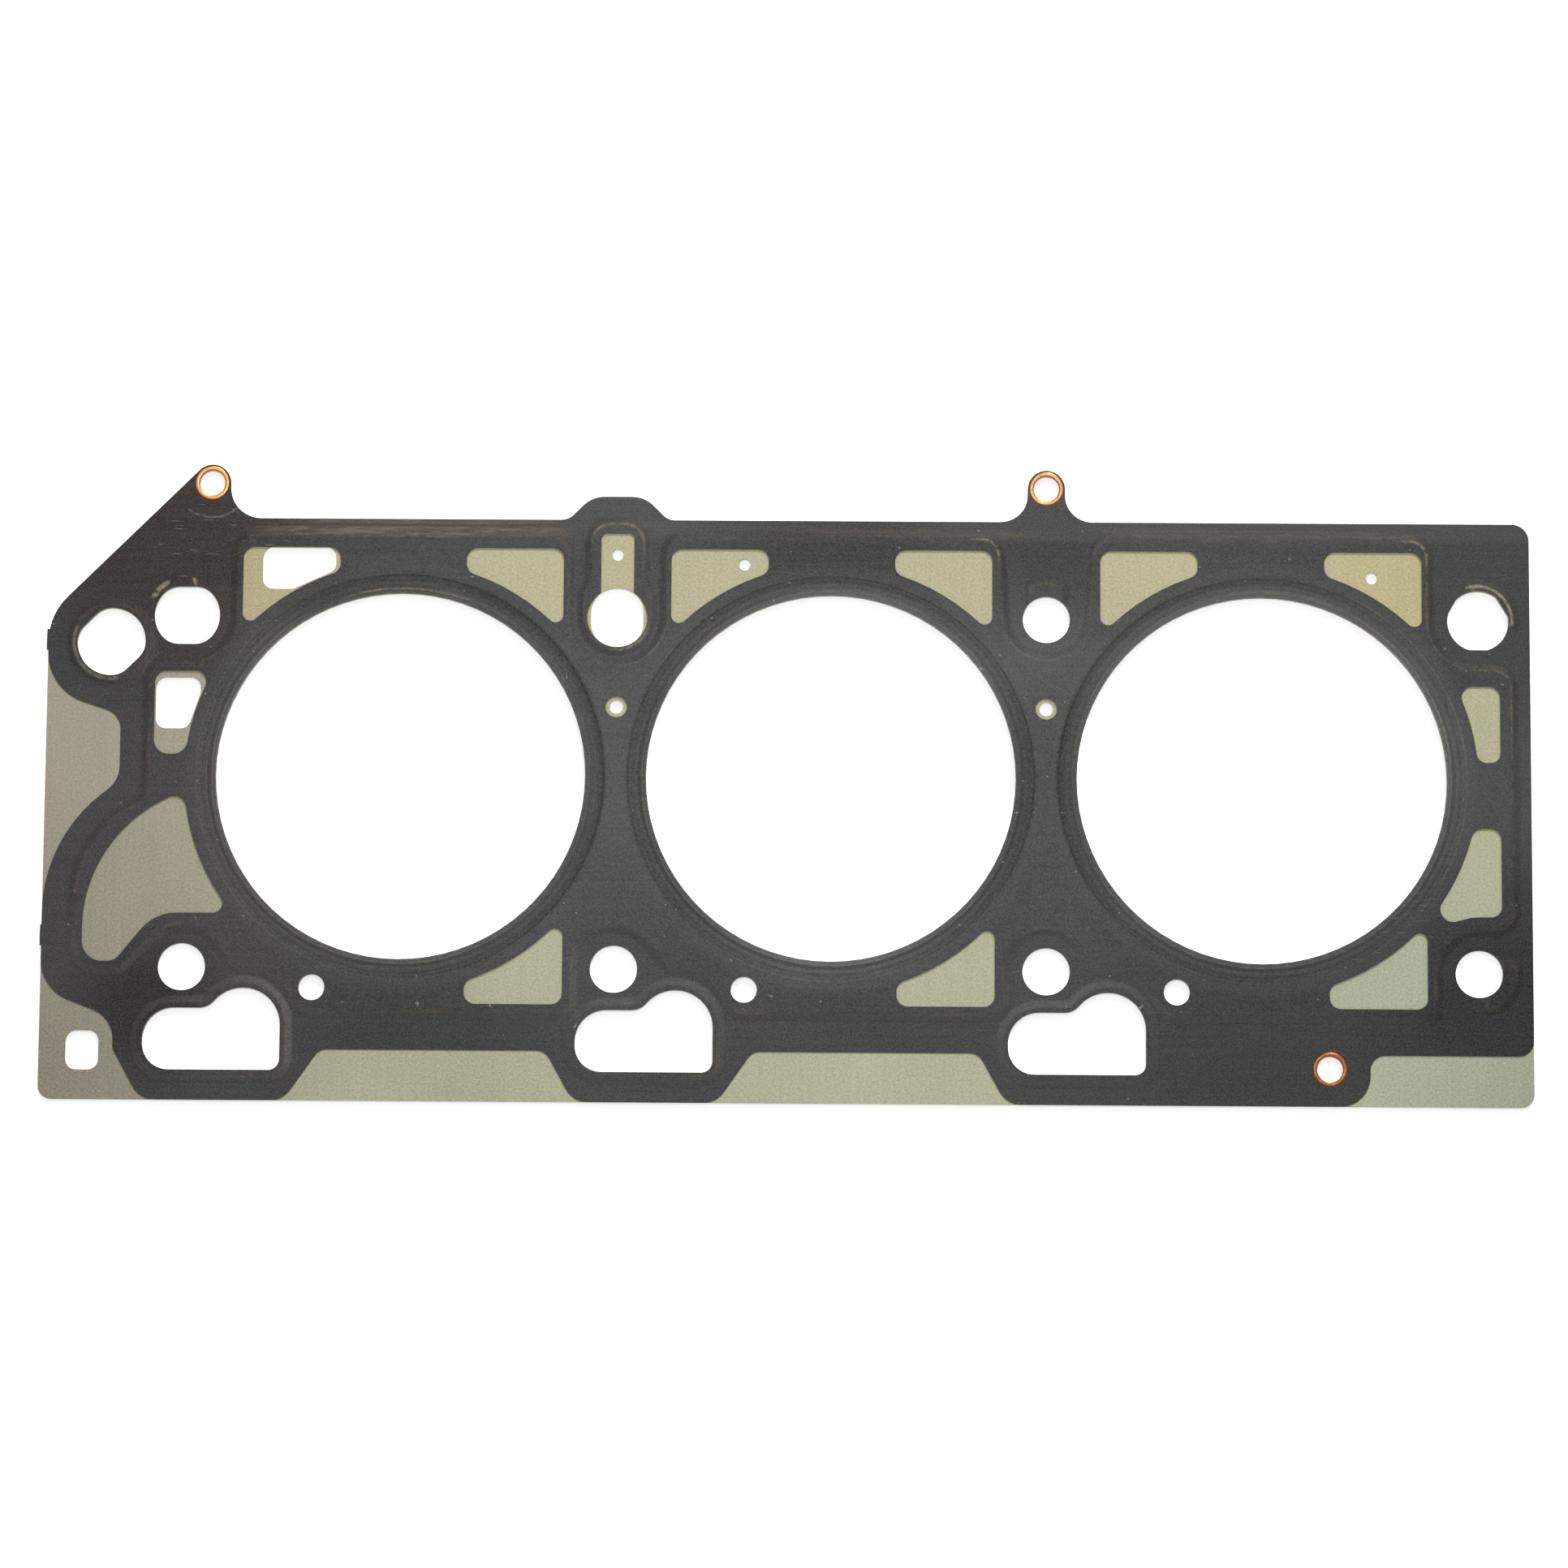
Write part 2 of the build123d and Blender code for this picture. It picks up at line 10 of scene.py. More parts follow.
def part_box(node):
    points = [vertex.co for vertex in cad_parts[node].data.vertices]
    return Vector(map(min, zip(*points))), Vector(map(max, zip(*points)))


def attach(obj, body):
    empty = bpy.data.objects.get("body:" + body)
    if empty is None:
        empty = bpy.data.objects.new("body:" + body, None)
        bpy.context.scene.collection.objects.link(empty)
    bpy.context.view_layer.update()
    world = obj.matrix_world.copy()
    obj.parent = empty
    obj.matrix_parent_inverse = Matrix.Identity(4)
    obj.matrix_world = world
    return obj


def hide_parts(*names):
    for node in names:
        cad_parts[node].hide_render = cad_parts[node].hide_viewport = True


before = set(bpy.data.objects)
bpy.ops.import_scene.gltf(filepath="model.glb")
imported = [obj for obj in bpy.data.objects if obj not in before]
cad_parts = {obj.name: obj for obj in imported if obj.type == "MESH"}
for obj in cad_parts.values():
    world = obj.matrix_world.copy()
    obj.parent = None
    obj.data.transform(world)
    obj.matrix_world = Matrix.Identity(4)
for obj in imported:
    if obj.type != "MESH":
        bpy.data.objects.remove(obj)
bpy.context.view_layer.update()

print("frame loaded:", sorted(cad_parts))


def hexColour(code):
    # an sRGB hex code as the linear colour that a socket takes
    parts = [int(code[i:i + 2], 16) / 255 for i in (0, 2, 4)]
    return tuple(c / 12.92 if c <= 0.04045 else ((c + 0.055) / 1.055) ** 2.4 for c in parts) + (1,)


def addNode(material, kind, settings=None, links=None):
    # one node with its settings and what feeds it; a link is (input, node, output)
    tree = material.node_tree
    node = tree.nodes.new(kind)
    for name, value in (settings or {}).items():
        if hasattr(node, str(name)):
            setattr(node, name, value)
        else:
            node.inputs[name].default_value = value
    for target, source, output in links or []:
        tree.links.new(source.outputs[output], node.inputs[target])
    return node


def newMaterial(name):
    material = bpy.data.materials.new(name)
    material.use_nodes = True
    material.node_tree.nodes.clear()
    return material


def selectOnly(piece):
    bpy.ops.object.select_all(action="DESELECT")
    piece.select_set(True)
    bpy.context.view_layer.objects.active = piece


def finishPiece(piece, node, material):
    piece.data.materials.clear()
    piece.data.materials.append(material)
    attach(piece, "root")
    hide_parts(node)


# the embossed sheets: a fine skin is laid over the solid, its pressed bends are rounded as a die
# leaves them, and the skin is given the sheet's thickness; the lower sheet is the upper one turned over
beadSheets = {
    "sheet": 0.00025,           # metres of thickness
    "halfBeadBend": 0.00050,    # metres round a point over which a bend is softened
    "boreBeadBend": 0.00034,
    "boreAxes": (-0.114, 0.0, 0.114),
    "boreBeadWithin": 0.0555,   # metres from a bore's axis that its full bead reaches
    # rows of corners along a bend, in shares of its softening
    "rows": (-2.0, -1.1, -0.5, 0.0, 0.5, 1.1, 2.0),
    "rowStep": 0.0018,          # metres between corners along a row
    "closest": 0.00016,         # metres under which two corners are one
    "gentlest": 3.0,            # degrees between two faces that make a pressed bend
    "steepest": 30.0,
    "lyingFace": 0.9,           # a face lies flat or slopes gently when its normal rises this far
    "weldedWithin": 0.000002,
    "joinedWithin": 0.0001,     # millimetres under which the triangulation joins two corners
    "lookFrom": 1.0,            # metres up, from where a height is looked for
    "probes": (6, 10, 12),      # heights taken on the half, the whole and the widest ring round a point
    "crestReach": 2.0,          # wear reaches this many softenings from a crest
    "crestDrop": 0.040,         # a crest stands this share of its reach above what lies round it
}


def softening(x, y):
    # how far round a point the surface is evened out
    for axis in beadSheets["boreAxes"]:
        if (x - axis) ** 2 + y ** 2 < beadSheets["boreBeadWithin"] ** 2:
            return beadSheets["boreBeadBend"]
    return beadSheets["halfBeadBend"]


def edgesOfTop(mesh):
    # the sheet's cut edges and the bends, both as pairs of corners of its upper face
    cuts, bends = [], []
    low, high = radians(beadSheets["gentlest"]), radians(beadSheets["steepest"])
    for edge in mesh.edges:
        lying = [face.normal.z > beadSheets["lyingFace"] for face in edge.link_faces]
        if all(lying):
            if low < edge.calc_face_angle() < high:
                bends.append(edge)
        elif any(lying):
            cuts.append(edge)
    return cuts, bends


def heightAt(tree, x, y):
    hit = tree.ray_cast(Vector((x, y, beadSheets["lookFrom"])), Vector((0, 0, -1)))[0]
    return None if hit is None else hit.z


def ringHeights(tree, x, y, radius, count):
    turns = [2 * pi * (step + 0.5) / count for step in range(count)]
    found = [heightAt(tree, x + radius * cos(turn), y + radius * sin(turn)) for turn in turns]
    return [z for z in found if z is not None]


def evenedHeight(tree, x, y, fallback):
    # the mean height on a small disc rounds the bends, and a wider ring below it marks a crest
    reach = softening(x, y)
    half, whole, widest = beadSheets["probes"]
    here = heightAt(tree, x, y)
    near = [] if here is None else [here]
    near += ringHeights(tree, x, y, reach / 2, half) + ringHeights(tree, x, y, reach, whole)
    even = sum(near) / len(near) if near else fallback
    wide = reach * beadSheets["crestReach"]
    around = ringHeights(tree, x, y, wide, widest)
    rise = even - sum(around) / len(around) if around else 0.0
    return even, min(max(rise / (wide * beadSheets["crestDrop"]), 0.0), 1.0)


def sheetSkin(node, name):
    mesh = bmesh.new()
    mesh.from_mesh(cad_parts[node].data)
    bmesh.ops.remove_doubles(mesh, verts=mesh.verts, dist=beadSheets["weldedWithin"])
    tree = BVHTree.FromBMesh(mesh)
    cuts, bends = edgesOfTop(mesh)
    closest, rowStep = beadSheets["closest"], beadSheets["rowStep"]
    corners, heights, edges, number = [], [], [], {}
    for edge in cuts:
        for corner in edge.verts:
            if corner not in number:
                number[corner] = len(corners)
                corners.append(corner.co.xy * 1000)  # millimetres suit the triangulation's rounding
                heights.append(corner.co.z)
        edges.append([number[corner] for corner in edge.verts])
    taken = {(round(x / closest / 1000), round(y / closest / 1000)) for x, y in corners}
    for edge in bends:
        start, end = (corner.co.xy for corner in edge.verts)
        along = end - start
        if not along.length:
            continue
        across = Vector((-along.y, along.x)).normalized()
        steps = ceil(along.length / rowStep)
        for step in range(steps):
            middle = start + along * (step + 0.5) / steps
            for row in beadSheets["rows"]:
                spot = middle + across * row * softening(*middle)
                cell = tuple(round(value / closest) for value in spot)
                z = heightAt(tree, *spot)
                if cell not in taken and z is not None:
                    taken.add(cell)
                    corners.append(spot * 1000)
                    heights.append(z)
    spots, _, faces, sources, _, _ = delaunay_2d_cdt(corners, edges, [], 0, beadSheets["joinedWithin"])
    spots = [spot / 1000 for spot in spots]
    kept = []
    for face in faces:
        x = sum(spots[n].x for n in face) / 3
        y = sum(spots[n].y for n in face) / 3
        if heightAt(tree, x, y) is not None:
            kept.append(face)
    base = min(heights)
    shaped = []
    for spot, source in zip(spots, sources):
        shaped.append(evenedHeight(tree, spot.x, spot.y, heights[source[0]] if source else base))
    skin = bpy.data.meshes.new(name)
    skin.from_pydata([(spot.x, spot.y, z) for spot, (z, _) in zip(spots, shaped)], [], kept)
    crest = skin.attributes.new("crest", "FLOAT", "POINT")
    crest.data.foreach_set("value", [wear for _, wear in shaped])
    mesh.free()
    piece = bpy.data.objects.new(name, skin)
    bpy.context.scene.collection.objects.link(piece)
    selectOnly(piece)
    bpy.ops.object.mode_set(mode="EDIT")
    bpy.ops.mesh.select_all(action="SELECT")
    bpy.ops.mesh.delete_loose()
    bpy.ops.mesh.select_all(action="SELECT")
    bpy.ops.mesh.extrude_region_move(TRANSFORM_OT_translate={"value": (0, 0, -beadSheets["sheet"])})
    bpy.ops.mesh.select_all(action="SELECT")
    bpy.ops.mesh.normals_make_consistent(inside=False)
    bpy.ops.object.mode_set(mode="OBJECT")
    bpy.ops.object.shade_smooth_by_angle(angle=radians(beadSheets["steepest"]))
    print(name, "corners:", len(piece.data.vertices), "faces:", len(piece.data.polygons))
    return piece


def turnedOver(piece, name):
    # the same sheet with its beads pointing down, resting where the lower one lies
    floorLevel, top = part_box("lower_bead_layer")[0].z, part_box("upper_bead_layer")[1].z
    other = bpy.data.objects.new(name, piece.data.copy())
    bpy.context.scene.collection.objects.link(other)
    other.data.transform(Matrix.Translation((0, 0, floorLevel + top)) @ Matrix.Diagonal((1, 1, -1, 1)))
    selectOnly(other)
    bpy.ops.object.mode_set(mode="EDIT")
    bpy.ops.mesh.select_all(action="SELECT")
    bpy.ops.mesh.normals_make_consistent(inside=False)
    bpy.ops.object.mode_set(mode="OBJECT")
    return other


noiseSpan = (0.3, 0.7)  # most of a noise's values lie between these


def noise(material, place, size, detail, rough, stretch=(1, 1, 1)):
    # a noise whose grain is size metres, and longer along an axis that is stretched
    scaled = addNode(material, "ShaderNodeMapping", {"Scale": tuple(1 / (size * s) for s in stretch)},
                     [("Vector", place, "Object")])
    return addNode(material, "ShaderNodeTexNoise", {"Scale": 1.0, "Detail": detail, "Roughness": rough},
                   [("Vector", scaled, "Vector")])


def ramp(material, source, output, low, high, bottom=0.0, top=1.0):
    # source's values from low to high become bottom to top, evenly and no further
    return addNode(material, "ShaderNodeMapRange",
                   {"From Min": low, "From Max": high, "To Min": bottom, "To Max": top},
                   [("Value", source, output)])


def spread(material, source, share, middle=0.0):
    # a noise that swings by its share to both sides of a middle value
    return ramp(material, source, 0, *noiseSpan, middle - share, middle + share)


def combine(material, how, *pair):
    # two numbers joined by a sum, a product or the like; each is plain, a node, or a node with its output
    settings, links = {"operation": how}, []
    for socket, number in enumerate(pair):
        if isinstance(number, tuple):
            links.append((socket, *number))
        elif hasattr(number, "outputs"):
            links.append((socket, number, 0))
        else:
            settings[socket] = number
    return addNode(material, "ShaderNodeMath", settings, links)


def joined(material, how, *numbers):
    # several numbers joined one after the other
    result = numbers[0]
    for number in numbers[1:]:
        result = combine(material, how, result, number)
    return result


def blend(material, factor, first, second, how="MIX"):
    # two colours mixed by a number; each is a hex code or a node with its colour output's number
    settings, links = {"data_type": "RGBA", "blend_type": how}, []
    if hasattr(factor, "outputs"):
        links.append((0, factor, 0))
    else:
        settings[0] = factor
    for socket, colour in ((6, first), (7, second)):
        if isinstance(colour, str):
            settings[socket] = hexColour(colour)
        else:
            links.append((socket, *colour))
    return addNode(material, "ShaderNodeMix", settings, links)


def flattened(material, place):
    # the object's own coordinates without the height
    return addNode(material, "ShaderNodeVectorMath", {"operation": "MULTIPLY", 1: (1, 1, 0)},
                   [(0, place, "Object")])


def awayFrom(material, source, output, centre):
    # metres from a centre at the level that the gasket lies on
    return addNode(material, "ShaderNodeVectorMath", {"operation": "DISTANCE", 1: (*centre, 0)},
                   [(0, source, output)])


def awayFromNearest(material, source, output, centres):
    nearest = 1.0
    for centre in centres:
        away = awayFrom(material, source, output, centre)
        nearest = combine(material, "MINIMUM", nearest, (away, "Value"))
    return nearest


def nearness(material, flat, centre, reach, strength, core=0.5):
    # strength within core of the reach round a centre, fading to nothing at the reach
    away = awayFrom(material, flat, 0, centre)
    return ramp(material, away, "Value", reach, reach * core, 0.0, strength)


def within(material, source, output, low, high, soft):
    # one between low and high, fading out over soft on both sides
    return combine(material, "MULTIPLY", ramp(material, source, output, low - soft, low),
                   ramp(material, source, output, high + soft, high))


def raySeen(owner):
    # one for rays that the camera, a gloss or a clear body sends, so that all of them see white
    path = addNode(owner, "ShaderNodeLightPath")
    return joined(owner, "MAXIMUM", (path, "Is Camera Ray"), (path, "Is Glossy Ray"),
                  (path, "Is Transmission Ray"))


# nitrile rubber coating on spring steel: a thin sprayed film, near black grey and satin, with a fine
# grain, the rolled steel's faint lines under it, warm tints, crests that are rubbed to brown, and painted
# sheen, shade and highlights
coated = {
    "film": ("242321", "222323"), "filmSpan": (0.35, 0.65),     # warm and cool patches, and where they part
    "worn": "62513F", "bare": "9C8E6E", "scuff": "8A8272",
    "roughness": 0.34, "roughnessShare": 0.03, "specular": 0.34,
    # noises: metres across, detail, roughness, and how many times longer they are along each axis
    "grain": (0.00046, 3.0, 0.75),          # the real grit is finer and wouldn't show
    "mottle": (0.030, 5.0, 0.6),
    "lines": (0.0008, 2.0, 0.5, (60, 1, 1)),    # rolling lines, which run along the bores
    "speckle": (0.00138, 2.0, 0.7),
    "patches": (0.010, 4.0, 0.7),
    "dashes": (0.0009, 3.0, 0.7, (8, 1, 1)),
    "scratches": (0.00035, 1.0, 0.5, (14, 1, 1)),
    "dust": (0.0012, 0.0, 0.5),
    "grainShare": 0.38, "lineShare": 0.06,  # how much lighter and darker they make the film and its gloss
    "bump": 0.000050,                       # metres of height in the grain
    # tints: centre, reach, strength, colour
    "tints": [((-0.190, -0.030), 0.075, 0.80, "282125"), ((-0.178, 0.058), 0.036, 0.60, "33221C")],
    "tintSpan": (0.30, 0.60, 0.3, 1.0),
    # flats painted lighter or darker, painted sheen and painted shade in place of the overhead gloss:
    # centre, reach, share of film and gloss
    "sheenAndShadeSpots": [((-0.057, 0.004), 0.046, 0.22), ((0.057, 0.010), 0.046, 0.06),
               ((0.0, 0.062), 0.045, -0.26), ((0.057, 0.066), 0.026, -0.16),
               ((0.0, -0.074), 0.075, -0.14), ((-0.178, 0.062), 0.050, -0.30),
               ((-0.110, -0.074), 0.050, -0.20), ((0.110, -0.074), 0.060, -0.20),
               ((0.178, -0.060), 0.045, -0.35), ((0.057, 0.037), 0.018, 0.26),
               ((0.182, 0.000), 0.030, 0.18), ((-0.180, -0.062), 0.026, -0.40),
               ((-0.150, 0.040), 0.020, 0.12)],
    "sheenAndShadeCore": 0.3,
    # the die's rings round a bore: metres between them, share, height in shares of the grain's, and where
    "rings": 0.00050, "ringDetail": 2.0, "ringShare": 0.10, "ringHeight": 2.0,
    "ringBand": (0.0485, 0.0538, 0.0012),
    # the band round a bore is painted darker outwards, painted shade where its wall slopes: distances from
    # and to, share, and its outer edge
    "band": (0.0495, 0.0536, -0.30), "bandEdge": (0.0541, 0.0549),
    # painted highlight on the band, lighter where its gloss would catch more light: distances from and to,
    # softness, share
    "highlightBands": [(0.0485, 0.0500, 0.0004, 0.50), (0.0503, 0.0520, 0.0004, 0.36),
                (0.0523, 0.0543, 0.0004, 0.22), (0.0546, 0.0560, 0.0022, 0.12)],
    # where that painted highlight is stronger and where weaker: centre, reach, share
    "more": [((0.0, -0.052), 0.034, 0.85), ((0.165, 0.025), 0.036, 0.60),
             ((-0.155, 0.035), 0.030, 0.25), ((0.0, 0.052), 0.030, 0.55),
             ((-0.114, -0.052), 0.026, 0.15)],
    "less": [((-0.0585, 0.002), 0.054, 1.0), ((0.0600, -0.004), 0.040, 0.85),
             ((-0.085, 0.040), 0.030, 0.70), ((-0.122, 0.052), 0.034, 0.65)],
    "moreCore": 0.3, "lessCore": 0.4,
    # the edge strip on the tab side has a painted highlight too: y from and to, x from and to, share
    "strip": (0.0630, 0.0652, -0.150, -0.040, 0.20),
    # slopes on the port side are painted lighter, a painted highlight over their shade, but for the rear
    # end: the normal's rise from and to, share, y from and to, x from and to, and distance from a bore's
    # axis from and to
    "slopes": (0.9995, 0.9930, 0.34, -0.030, -0.050, 0.162, 0.150, 0.0560, 0.0580),
    # faint wear along every crest: how far a crest has to stand out, and how patchy it is
    "wearSpan": (0.2, 0.9), "wearPatches": (0.48, 0.70, 0.04, 0.45),
    # the long rubs beside the tab side's edge: x from and to, y from and to, strength
    "rubs": [(-0.146, -0.080, 0.0648, 0.0666, 0.95), (-0.136, -0.082, 0.0680, 0.0700, 0.60),
             (0.000, 0.045, 0.0650, 0.0666, 0.30), (0.080, 0.150, 0.0655, 0.0668, 0.25)],
    "rubEnds": 0.012, "rubSides": 0.0006, "dashSpan": (0.42, 0.62, 0.25, 1.0),
    # places where tools or castings rubbed the crests: centre, reach, strength
    "marks": [((-0.1683, 0.0522), 0.0022, 0.80), ((0.0415, 0.0625), 0.0060, 0.80),
              ((0.1560, 0.0625), 0.0070, 0.70), ((-0.0570, 0.0650), 0.0090, 0.55),
              ((-0.0500, 0.0320), 0.0090, 0.40), ((0.0520, 0.0330), 0.0080, 0.35),
              ((0.1600, 0.0460), 0.0240, 0.22), ((0.1720, 0.0200), 0.0180, 0.32),
              ((-0.1120, 0.0552), 0.0200, 0.35)],
    "markCore": 0.6, "markSpan": (0.45, 0.95), "markSpeckle": (0.40, 0.55, 0.15, 1.0),
    # arcs that clamps and washers wore round holes: centre, radius, width, x from and to, y from and to,
    # strength
    "scars": [((-0.1654, 0.0794), 0.0102, 0.00016, -0.1712, -0.1588, 0.0690, 0.0735, 0.34),
              ((-0.1712, 0.0427), 0.0104, 0.00045, -0.1806, -0.1768, 0.0480, 0.0515, 0.75),
              ((0.1711, 0.0429), 0.0094, 0.00026, 0.1690, 0.1815, 0.0425, 0.0530, 0.75),
              ((-0.1914, 0.0355), 0.0100, 0.00030, -0.2020, -0.1900, 0.0250, 0.0390, 0.35)],
    "scarEnds": 0.001, "scarSpeckle": (0.35, 0.55, 0.2, 1.0),
    # patches with short scratches: centre, reach, strength
    "scratched": [((-0.168, 0.064), 0.016, 0.6), ((-0.150, 0.064), 0.012, 0.5),
                  ((0.150, -0.030), 0.030, 0.3)],
    "scratchSpan": (0.68, 0.76), "dustSpan": (0.855, 0.885, 0.0, 0.6),
}
coatedSteel = newMaterial("nitrileCoatedSpringSteel")
place = addNode(coatedSteel, "ShaderNodeTexCoord")
crest = addNode(coatedSteel, "ShaderNodeAttribute", {"attribute_name": "crest"})
where = addNode(coatedSteel, "ShaderNodeSeparateXYZ", links=[("Vector", place, "Object")])
facing = addNode(coatedSteel, "ShaderNodeSeparateXYZ", links=[("Vector", place, "Normal")])
flat = flattened(coatedSteel, place)
grain, mottle, lines, speckle, patches, dashes, scratches, dust = [
    noise(coatedSteel, place, *coated[name])
    for name in ("grain", "mottle", "lines", "speckle", "patches", "dashes", "scratches", "dust")]

film = blend(coatedSteel, ramp(coatedSteel, mottle, 0, *coated["filmSpan"]), *coated["film"])
for centre, reach, strength, colour in coated["tints"]:
    tint = combine(coatedSteel, "MULTIPLY", nearness(coatedSteel, flat, centre, reach, strength),
                   ramp(coatedSteel, patches, 0, *coated["tintSpan"]))
    film = blend(coatedSteel, tint, (film, 2), colour)
# the film's shade: rolling lines and grain, with painted sheen and painted shade on some flats
shade = joined(coatedSteel, "ADD", spread(coatedSteel, lines, coated["lineShare"], 1.0),
               spread(coatedSteel, grain, coated["grainShare"]),
               *[nearness(coatedSteel, flat, *spot, coated["sheenAndShadeCore"]) for spot in coated["sheenAndShadeSpots"]])

# the band round each bore, with the die's rings in it, its painted shade and its painted highlights
away = awayFromNearest(coatedSteel, place, "Object", [(axis, 0) for axis in beadSheets["boreAxes"]])
ringCount = combine(coatedSteel, "DIVIDE", away, coated["rings"])
rings = addNode(coatedSteel, "ShaderNodeTexNoise",
                {"noise_dimensions": "1D", "Scale": 1.0, "Detail": coated["ringDetail"]},
                [("W", ringCount, 0)])
ringShade = combine(coatedSteel, "MULTIPLY", within(coatedSteel, away, 0, *coated["ringBand"]),
                    spread(coatedSteel, rings, coated["ringShare"]))
# painted shade on the outer part of the band round each bore
start, end, share = coated["band"]
paintedBandShade = combine(coatedSteel, "MULTIPLY", ramp(coatedSteel, away, 0, start, end, 0.0, share),
                   ramp(coatedSteel, away, 0, *coated["bandEdge"], 1.0, 0.0))
# painted highlight on the band round each bore, stronger or weaker by place
paintedHighlight = joined(coatedSteel, "ADD",
                *[combine(coatedSteel, "MULTIPLY", within(coatedSteel, away, 0, low, high, soft), share)
                  for low, high, soft, share in coated["highlightBands"]])
more = joined(coatedSteel, "ADD", 1.0,
              *[nearness(coatedSteel, flat, *spot, coated["moreCore"]) for spot in coated["more"]])
less = joined(coatedSteel, "MAXIMUM",
              *[nearness(coatedSteel, flat, *spot, coated["lessCore"]) for spot in coated["less"]])
paintedHighlight = joined(coatedSteel, "MULTIPLY", paintedHighlight, more, combine(coatedSteel, "SUBTRACT", 1.0, less))

# painted highlights on the edge strip and on the slopes
y0, y1, x0, x1, share = coated["strip"]
strip = combine(coatedSteel, "MULTIPLY", ramp(coatedSteel, where, "Y", y0, y1, 0.0, share),
                ramp(coatedSteel, where, "X", x0, x1))
# painted highlight on the gently tilted faces of the port side
steep, steeper, share, y0, y1, x0, x1, start, end = coated["slopes"]
slope = joined(coatedSteel, "MULTIPLY", ramp(coatedSteel, facing, "Z", steep, steeper, 0.0, share),
               ramp(coatedSteel, where, "Y", y0, y1), ramp(coatedSteel, where, "X", x0, x1),
               ramp(coatedSteel, away, 0, start, end))
shade = joined(coatedSteel, "ADD", shade, ringShade, paintedBandShade, paintedHighlight, strip, slope)
# the film's colour times its shade, painted sheen, painted shade and painted highlights included
film = blend(coatedSteel, 1.0, (film, 2), (shade, 0), "MULTIPLY")

# rubbed places: faint wear along every crest, long rubs in dashes, and marks on some crests
wear = combine(coatedSteel, "MULTIPLY", ramp(coatedSteel, crest, "Fac", *coated["wearSpan"]),
               ramp(coatedSteel, patches, 0, *coated["wearPatches"]))
stroke = ramp(coatedSteel, dashes, 0, *coated["dashSpan"])
for x0, x1, y0, y1, strength in coated["rubs"]:
    rub = joined(coatedSteel, "MULTIPLY", within(coatedSteel, where, "X", x0, x1, coated["rubEnds"]),
                 within(coatedSteel, where, "Y", y0, y1, coated["rubSides"]), stroke, strength)
    wear = combine(coatedSteel, "MAXIMUM", wear, rub)
tone = blend(coatedSteel, wear, (film, 2), coated["worn"])
mark = joined(coatedSteel, "MAXIMUM",
              *[nearness(coatedSteel, flat, *spot, coated["markCore"]) for spot in coated["marks"]])
mark = joined(coatedSteel, "MULTIPLY", mark, ramp(coatedSteel, crest, "Fac", *coated["markSpan"]),
              ramp(coatedSteel, speckle, 0, *coated["markSpeckle"]))
tone = blend(coatedSteel, mark, (tone, 2), coated["bare"])

# worn arcs, short scratches and a little dust
scuff = ramp(coatedSteel, dust, 0, *coated["dustSpan"])
for centre, radius, width, x0, x1, y0, y1, strength in coated["scars"]:
    around = awayFrom(coatedSteel, flat, 0, centre)
    scar = joined(coatedSteel, "MULTIPLY",
                  within(coatedSteel, around, "Value", radius - width, radius + width, width),
                  within(coatedSteel, where, "X", x0, x1, coated["scarEnds"]),
                  within(coatedSteel, where, "Y", y0, y1, coated["scarEnds"]),
                  ramp(coatedSteel, speckle, 0, *coated["scarSpeckle"]), strength)
    scuff = combine(coatedSteel, "MAXIMUM", scuff, scar)
for centre, reach, strength in coated["scratched"]:
    patch = combine(coatedSteel, "MULTIPLY", nearness(coatedSteel, flat, centre, reach, strength),
                    ramp(coatedSteel, scratches, 0, *coated["scratchSpan"]))
    scuff = combine(coatedSteel, "MAXIMUM", scuff, patch)
tone = blend(coatedSteel, scuff, (tone, 2), coated["scuff"])

gloss = combine(coatedSteel, "MULTIPLY", shade, coated["specular"])
roughness = spread(coatedSteel, mottle, coated["roughnessShare"], coated["roughness"])
ringRelief = combine(coatedSteel, "MULTIPLY", ringShade, coated["ringHeight"])
relief = combine(coatedSteel, "ADD", grain, ringRelief)
bump = addNode(coatedSteel, "ShaderNodeBump", {"Strength": 1.0, "Distance": coated["bump"]},
               [("Height", relief, 0)])
surface = addNode(coatedSteel, "ShaderNodeBsdfPrincipled", None,
                  [("Base Color", tone, 2), ("Normal", bump, "Normal"), ("Specular IOR Level", gloss, 0),
                   ("Roughness", roughness, 0)])
addNode(coatedSteel, "ShaderNodeOutputMaterial", links=[("Surface", surface, "BSDF")])

upperSheet = sheetSkin("upper_bead_layer", "upperSheet")
lowerSheet = turnedOver(upperSheet, "lowerSheet")
finishPiece(upperSheet, "upper_bead_layer", coatedSteel)
finishPiece(lowerSheet, "lower_bead_layer", coatedSteel)
print("coated sheets made")

